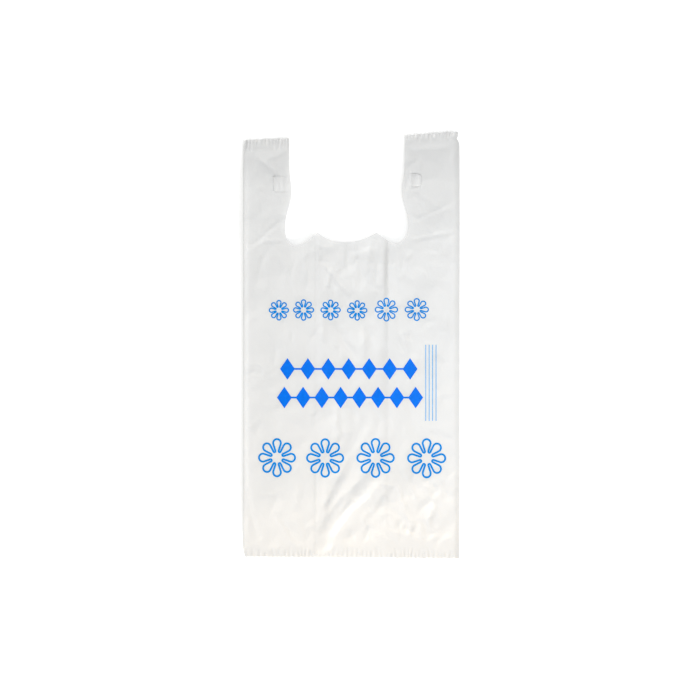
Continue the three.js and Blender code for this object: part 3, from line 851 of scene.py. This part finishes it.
# Materials. The scales and depths of their patterns are in metres.
FILM_COLOR = (0.89, 0.89, 0.887)
FILM_ROUGHNESS = 0.31
FILM_SPECULAR = 0.28
FILM_TRANSLUCENT = 0.25
FILM_CLEAR = 0.22
# Painted shade along the right side fold: the share of the film's colour left at the edge, and the width in
# millimetres over which it darkens.
EDGE_PAINTED_SHADE = 0.89
EDGE_PAINTED_SHADE_WIDTH = 9.0
FINE_BUMP_SCALE = 190.0
FINE_BUMP_STRENGTH = 0.25
FINE_BUMP_DISTANCE = 0.0006
NOISE_DETAIL = 3.0
INK_ROUGHNESS = 0.35
INK_SPECULAR = 0.08
INK_PATCH_SCALE = 240.0
INK_THIN = 0.8
INK_THICK = 1.2
BLUE = (0.0, 0.142, 0.7)
LINE_BLUE = (0.0, 0.205, 0.6)
PALE_BLUE = (0.07, 0.36, 0.74)


def add_node(tree, kind, inputs, **settings):
    """A new node. Each of its inputs takes a value or another node's output."""
    node = tree.nodes.new(kind)
    for setting, value in settings.items():
        setattr(node, setting, value)
    for name, value in inputs.items():
        if isinstance(value, bpy.types.NodeSocket):
            tree.links.new(value, node.inputs[name])
        else:
            node.inputs[name].default_value = value
    return node


def mix_shaders(tree, share, first, second):
    """Two shaders mixed, with the second one's share."""
    return add_node(tree, "ShaderNodeMixShader", {"Fac": share, 1: first, 2: second}).outputs[0]


def mix_tones(tree, share, color, first, second):
    """A colour that goes from the first to the second share of itself."""
    inputs = {
        "A": (*(first * c for c in color), 1.0),
        "B": (*(second * c for c in color), 1.0),
        "Factor": share,
    }
    return add_node(tree, "ShaderNodeMix", inputs, data_type="RGBA").outputs["Result"]


def noise(tree, place, scale):
    inputs = {"Vector": place, "Scale": scale, "Detail": NOISE_DETAIL}
    return add_node(tree, "ShaderNodeTexNoise", inputs).outputs[0]


def painted_edge_shade(tree, place):
    """The film's colour, with painted shade that makes it greyer along the right side fold."""
    split = add_node(tree, "ShaderNodeSeparateXYZ", {0: place})
    inputs = {
        "Value": split.outputs["X"],
        "From Min": (HALF_WIDTH - EDGE_PAINTED_SHADE_WIDTH) * MM,
        "From Max": HALF_WIDTH * MM,
    }
    near = add_node(tree, "ShaderNodeMapRange", inputs, interpolation_type="SMOOTHSTEP")
    return mix_tones(tree, near.outputs["Result"], FILM_COLOR, 1.0, EDGE_PAINTED_SHADE)


def uneven_ink(tree, place, color):
    """The ink's colour in faint thicker and thinner patches."""
    return mix_tones(tree, noise(tree, place, INK_PATCH_SCALE), color, INK_THIN, INK_THICK)


def principled(name, color, roughness, specular):
    """A new material with its shader, and the place that its patterns are drawn from."""
    material = bpy.data.materials.new(name)
    material.use_nodes = True
    tree = material.node_tree
    shader = tree.nodes["Principled BSDF"]
    shader.inputs["Base Color"].default_value = (*color, 1.0)
    shader.inputs["Roughness"].default_value = roughness
    shader.inputs["Specular IOR Level"].default_value = specular
    return material, shader, tree.nodes.new("ShaderNodeTexCoord").outputs["Object"]


def paint(tree, shader, place, tone):
    """Gives a shader its colour, and the very fine unevenness of blown film."""
    inputs = {
        "Height": noise(tree, place, FINE_BUMP_SCALE),
        "Strength": FINE_BUMP_STRENGTH,
        "Distance": FINE_BUMP_DISTANCE,
    }
    bump = add_node(tree, "ShaderNodeBump", inputs)
    tree.links.new(bump.outputs[0], shader.inputs["Normal"])
    tree.links.new(tone, shader.inputs["Base Color"])


def film_material():
    """Milky film: a glossy surface that lets some light through, and a share of it clear."""
    material, gloss, place = principled("polyethylene_film", FILM_COLOR, FILM_ROUGHNESS, FILM_SPECULAR)
    tree = material.node_tree
    # The film's colour carries the painted shade along the right side fold, into both the glossy and the
    # translucent shader.
    tone = painted_edge_shade(tree, place)
    paint(tree, gloss, place, tone)
    through = add_node(tree, "ShaderNodeBsdfTranslucent", {"Color": tone}).outputs[0]
    clear = tree.nodes.new("ShaderNodeBsdfTransparent").outputs[0]
    body = mix_shaders(tree, FILM_TRANSLUCENT, gloss.outputs[0], through)
    surface = mix_shaders(tree, 1.0 - FILM_CLEAR, clear, body)
    tree.links.new(surface, tree.nodes["Material Output"].inputs["Surface"])
    return material


def ink_material(name, color):
    material, shader, place = principled(name, color, INK_ROUGHNESS, INK_SPECULAR)
    paint(material.node_tree, shader, place, uneven_ink(material.node_tree, place, color))
    return material


# The print.
INK_GAP = 0.1
ABOVE_FILM = 100.0
BESIDE_FILM = 6.0
PETALS = 8
PETAL_END_CENTRE = 0.757
PETAL_END_RADIUS = 0.205
PETAL_TURN_CENTRE = 0.362
PETAL_TURN_RADIUS = 0.058
FLOWER_STEP = 0.9
LEAST_ARC_POINTS = 3
LONG_GAP = 1.6
LOZENGE_HEIGHT = 29.0
LOZENGE_WIDTH = 20.0
LOZENGE_LINK = 2.4
LOZENGE_EDGE_STEP = 1.6
LOZENGE_STEP = 1.8
FILL_CLEARANCE = 0.35
RULES = 4
LAST_RULE_X = 113.5
RULE_PITCH = 4.6
RULE_LOW = -102.6
RULE_HIGH = -0.6
RULE_WIDTH = 1.0
RULE_STEP = 1.5

# The middle of each flower, and the half width and half height of its outline.
SMALL_FLOWERS = [
    ((-96.9, 45.6), (13.3, 13.5)),
    ((-63.9, 45.9), (13.9, 14.1)),
    ((-27.7, 45.9), (13.4, 13.7)),
    ((7.9, 45.3), (13.4, 13.4)),
    ((47.0, 46.4), (15.4, 15.7)),
    ((87.7, 46.5), (16.1, 15.1)),
]
LARGE_FLOWERS = [
    ((-99.5, -151.9), (25.1, 25.9)),
    ((-35.0, -152.3), (25.2, 26.1)),
    ((32.5, -152.2), (25.4, 26.4)),
    ((100.9, -152.6), (25.9, 26.5)),
]
SMALL_FLOWER_LINE = 1.8
LARGE_FLOWER_LINE = 2.6

# The rows of lozenges: the name, height and two ends of each, and how many lozenges it has.
LOZENGE_ROWS = [("upper", -33.0, -95.5, 88.7, 7), ("lower", -71.3, -99.6, 96.1, 8)]


def flat_piece(name, tree, points, faces, material, replaced):
    """A field of ink, laid on the front film."""
    places = []
    for px, py in points:
        height = height_on(tree, px * MM, py * MM, ABOVE_FILM * MM, BESIDE_FILM * MM)
        places.append((px * MM, py * MM, height + INK_GAP * MM))
    piece = mesh_object(name, name, places, [tuple(int(v) for v in f) for f in faces])
    piece.data.materials.append(material)
    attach(piece, "root")
    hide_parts(replaced)


def polar(radius, angle):
    return np.array([radius * math.cos(angle), radius * math.sin(angle)])


def direction(gap):
    return math.atan2(gap[1], gap[0])


def arc(centre, radius, start, sweep):
    count = max(LEAST_ARC_POINTS, int(abs(sweep) * radius / FLOWER_STEP))
    return [centre + polar(radius, start + sweep * i / count) for i in range(count + 1)]


def petal(radius, angle):
    """The arc round a petal's end, and the narrow turn that it meets near the flower's centre."""
    half_pitch = FULL_TURN / PETALS / 2
    end_radius, turn_radius = PETAL_END_RADIUS * radius, PETAL_TURN_RADIUS * radius
    end = polar(PETAL_END_CENTRE * radius, angle)
    turn = polar(PETAL_TURN_CENTRE * radius, angle + half_pitch)
    before = polar(PETAL_TURN_CENTRE * radius, angle - half_pitch)
    lean = math.asin((end_radius + turn_radius) / np.linalg.norm(turn - end))
    arrive = direction(before - end) + math.pi / 2 - lean
    leave = direction(turn - end) - math.pi / 2 + lean
    turn_start = leave + math.pi
    turn_end = 2 * (angle + half_pitch) - turn_start
    round_end = arc(end, end_radius, arrive, (leave - arrive) % FULL_TURN)
    return round_end + arc(turn, turn_radius, turn_start, -((turn_start - turn_end) % FULL_TURN))


def evened(path):
    """A closed path without repeated points and without long gaps."""
    loop = [path[0]]
    for point in path[1:]:
        start = loop[-1]
        gap = np.linalg.norm(point - start)
        if gap > LONG_GAP * FLOWER_STEP:
            count = int(gap / FLOWER_STEP)
            loop += [start + (point - start) * (i + 1) / (count + 1) for i in range(count)]
        if gap > SAME_PLACE:
            loop.append(point)
    if np.linalg.norm(loop[0] - loop[-1]) < SAME_PLACE:
        loop.pop()
    return np.array(loop)


def flower(name, tree, centre, halves, line, material, replaced):
    """A flower's outline: round petal ends, joined near the centre by narrow turns."""
    half_width, half_height = halves
    petals = [petal(half_width, math.pi / 2 + FULL_TURN / PETALS * k) for k in range(PETALS)]
    round_path = evened([point for points in petals for point in points])
    path = round_path * np.array([1.0, half_height / half_width]) + np.array(centre)
    tangent = np.roll(path, -1, axis=0) - np.roll(path, 1, axis=0)
    tangent /= np.linalg.norm(tangent, axis=1)[:, None]
    normal = np.stack([tangent[:, 1], -tangent[:, 0]], axis=1)
    points = np.concatenate([path - normal * line / 2, path, path + normal * line / 2])
    count = len(path)
    faces = []
    for i in range(count):
        j = (i + 1) % count
        for band in (0, count):
            faces.append((band + i, band + count + i, band + count + j, band + j))
    flat_piece(name, tree, points, faces, material, replaced)


def fill(outline, step):
    """Triangles that fill a closed outline, fine enough to follow the film."""
    low, high = outline.min(axis=0), outline.max(axis=0)
    inner = hex_points(step, step * TRIANGLE_RISE, (low[0], high[0]), (low[1], high[1]))
    inner = inner[inside(inner, outline)]
    inner = inner[distance_to(inner, outline) > FILL_CLEARANCE * step]
    vertices, faces = triangulate(np.concatenate([outline, inner]), chain_links([outline], 1))
    return vertices, faces[inside(vertices[faces].mean(axis=1), outline)]


def lozenge_side(centre, y, sign):
    """The corners of a lozenge's lower side to the right, or with a sign of -1 of its upper side back."""
    link = LOZENGE_LINK / 2
    shoulder = LOZENGE_WIDTH / 2 * (1 - LOZENGE_LINK / LOZENGE_HEIGHT)
    return [
        (centre - sign * shoulder, y - sign * link),
        (centre, y - sign * LOZENGE_HEIGHT / 2),
        (centre + sign * shoulder, y - sign * link),
    ]


def lozenge_row(name, tree, y, left, right, count, material, replaced):
    """A row of lozenges that are linked at their corners."""
    pitch = (right - left - LOZENGE_WIDTH) / (count - 1)
    centres = [left + LOZENGE_WIDTH / 2 + i * pitch for i in range(count)]
    lower = [corner for centre in centres for corner in lozenge_side(centre, y, 1)]
    upper = [corner for centre in centres[::-1] for corner in lozenge_side(centre, y, -1)]
    outline = along([(left, y), *lower, (right, y), *upper, (left, y)], LOZENGE_EDGE_STEP)
    points, faces = fill(outline, LOZENGE_STEP)
    flat_piece(name, tree, points, faces, material, replaced)


def rule(name, tree, x, material, replaced):
    """A thin upright rule."""
    ys = np.arange(RULE_LOW, RULE_HIGH + RULE_STEP / 2, RULE_STEP)
    sides = [np.stack([np.full_like(ys, x + dx), ys], axis=1) for dx in (-RULE_WIDTH / 2, RULE_WIDTH / 2)]
    count = len(ys)
    faces = [(i, count + i, count + i + 1, i + 1) for i in range(count - 1)]
    flat_piece(name, tree, np.concatenate(sides), faces, material, replaced)


def build_print(tree, ink, flower_ink, pale):
    for size, flowers, line in (
        ("small", SMALL_FLOWERS, SMALL_FLOWER_LINE),
        ("large", LARGE_FLOWERS, LARGE_FLOWER_LINE),
    ):
        for index, (centre, halves) in enumerate(flowers, 1):
            name = f"{size}_flower_{index}"
            flower(name, tree, centre, halves, line, flower_ink, f"print_{name}")
    for index, (place, y, left, right, count) in enumerate(LOZENGE_ROWS, 1):
        lozenge_row(f"lozenges_{place}", tree, y, left, right, count, ink, f"print_lozenge_row_{index}")
    for index in range(RULES):
        x = LAST_RULE_X - (RULES - 1 - index) * RULE_PITCH
        rule(f"rule_{index + 1}", tree, x, pale, f"print_rule_{index + 1}")


# The stage. Its places and sizes are in metres.
FLOOR_SIZE = 6.0
FLOOR_HEIGHT = -0.0004
FLOOR_COLOR = (0.62, 0.62, 0.61, 1.0)
FLOOR_GLOW = 0.5
BEFORE_FILM = 0.5
SOFT_COLOR = (0.985, 0.988, 0.985, 1.0)
SOFT_STRENGTH = 0.65
CAMERA_PLACE = (-0.00174, -0.00764, 2.611)
CAMERA_LENS = 100.0
CAMERA_SENSOR = 36.0
CAMERA_CLIP_END = 50.0

# The lamps: the name, place, target, size, power and colour of each.
LAMPS = [
    ("key", (1.35, -2.0, 1.66), (0.0, -0.05, 0.0), 0.5, 59.2, (1.0, 0.998, 0.99)),
    ("fill", (-1.6, -0.2, 1.3), (-0.05, 0.05, 0.0), 1.2, 6.6, (1.0, 0.98, 0.92)),
    ("middle", (0.16, -0.04, 0.6), (0.04, -0.05, 0.0), 0.3, 0.66, (0.76, 0.87, 1.0)),
    ("warm", (0.05, -0.66, 0.22), (-0.02, -0.24, 0.0), 0.25, 0.58, (1.0, 0.55, 0.0)),
]


def combined(tree, operation, first, second):
    """One value worked out from two others."""
    return add_node(tree, "ShaderNodeMath", {0: first, 1: second}, operation=operation).outputs[0]


def floor_material():
    """A pale cloth that looks brighter where it is seen directly than where the film lets it through."""
    material = bpy.data.materials.new("pale_floor")
    material.use_nodes = True
    tree = material.node_tree
    tree.nodes.clear()
    cloth = add_node(tree, "ShaderNodeBsdfDiffuse", {"Color": FLOOR_COLOR}).outputs[0]
    glow = add_node(tree, "ShaderNodeEmission", {"Strength": FLOOR_GLOW}).outputs[0]
    both = add_node(tree, "ShaderNodeAddShader", {0: cloth, 1: glow}).outputs[0]
    path = tree.nodes.new("ShaderNodeLightPath").outputs
    seen = combined(tree, "MAXIMUM", path["Is Camera Ray"], path["Is Glossy Ray"])
    passed = combined(tree, "MAXIMUM", seen, path["Is Transmission Ray"])
    direct = combined(tree, "LESS_THAN", path["Transparent Depth"], BEFORE_FILM)
    share = combined(tree, "MULTIPLY", passed, direct)
    surface = mix_shaders(tree, share, cloth, both)
    add_node(tree, "ShaderNodeOutputMaterial", {"Surface": surface})
    return material


def build_floor():
    bpy.ops.mesh.primitive_plane_add(size=FLOOR_SIZE, location=(0, 0, FLOOR_HEIGHT))
    floor = bpy.context.object
    floor.name = "floor"
    floor.data.materials.append(floor_material())


def build_world():
    """A soft pale room, and plain white behind everything."""
    world = bpy.data.worlds.new("studio")
    bpy.context.scene.world = world
    world.use_nodes = True
    tree = world.node_tree
    tree.nodes.clear()
    soft = add_node(tree, "ShaderNodeBackground", {"Color": SOFT_COLOR, "Strength": SOFT_STRENGTH})
    white = add_node(tree, "ShaderNodeBackground", {"Strength": 1.0})
    seen = tree.nodes.new("ShaderNodeLightPath").outputs["Is Camera Ray"]
    surface = mix_shaders(tree, seen, soft.outputs[0], white.outputs[0])
    add_node(tree, "ShaderNodeOutputWorld", {"Surface": surface})


def area_light(name, place, target, size, power, color):
    data = bpy.data.lights.new(name, "AREA")
    data.shape = "DISK"
    data.size = size
    data.energy = power
    data.color = color
    lamp = bpy.data.objects.new(name, data)
    bpy.context.collection.objects.link(lamp)
    lamp.location = place
    aim = Vector(target) - Vector(place)
    lamp.rotation_euler = aim.to_track_quat("-Z", "Y").to_euler()


def build_camera():
    data = bpy.data.cameras.new("camera")
    data.lens = CAMERA_LENS
    data.sensor_width = CAMERA_SENSOR
    data.clip_end = CAMERA_CLIP_END
    camera = bpy.data.objects.new("camera", data)
    bpy.context.collection.objects.link(camera)
    camera.location = CAMERA_PLACE
    bpy.context.scene.camera = camera


film, front_tree = build_film()
film.data.materials.append(film_material())
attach(film, "root")
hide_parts("film_bag")
solid_ink = ink_material("blue_ink", BLUE)
line_ink = ink_material("blue_line_ink", LINE_BLUE)
pale_ink = ink_material("pale_blue_ink", PALE_BLUE)
build_print(front_tree, solid_ink, line_ink, pale_ink)
build_floor()
build_world()
for lamp in LAMPS:
    area_light(*lamp)
build_camera()
bpy.context.scene.view_settings.view_transform = "Standard"
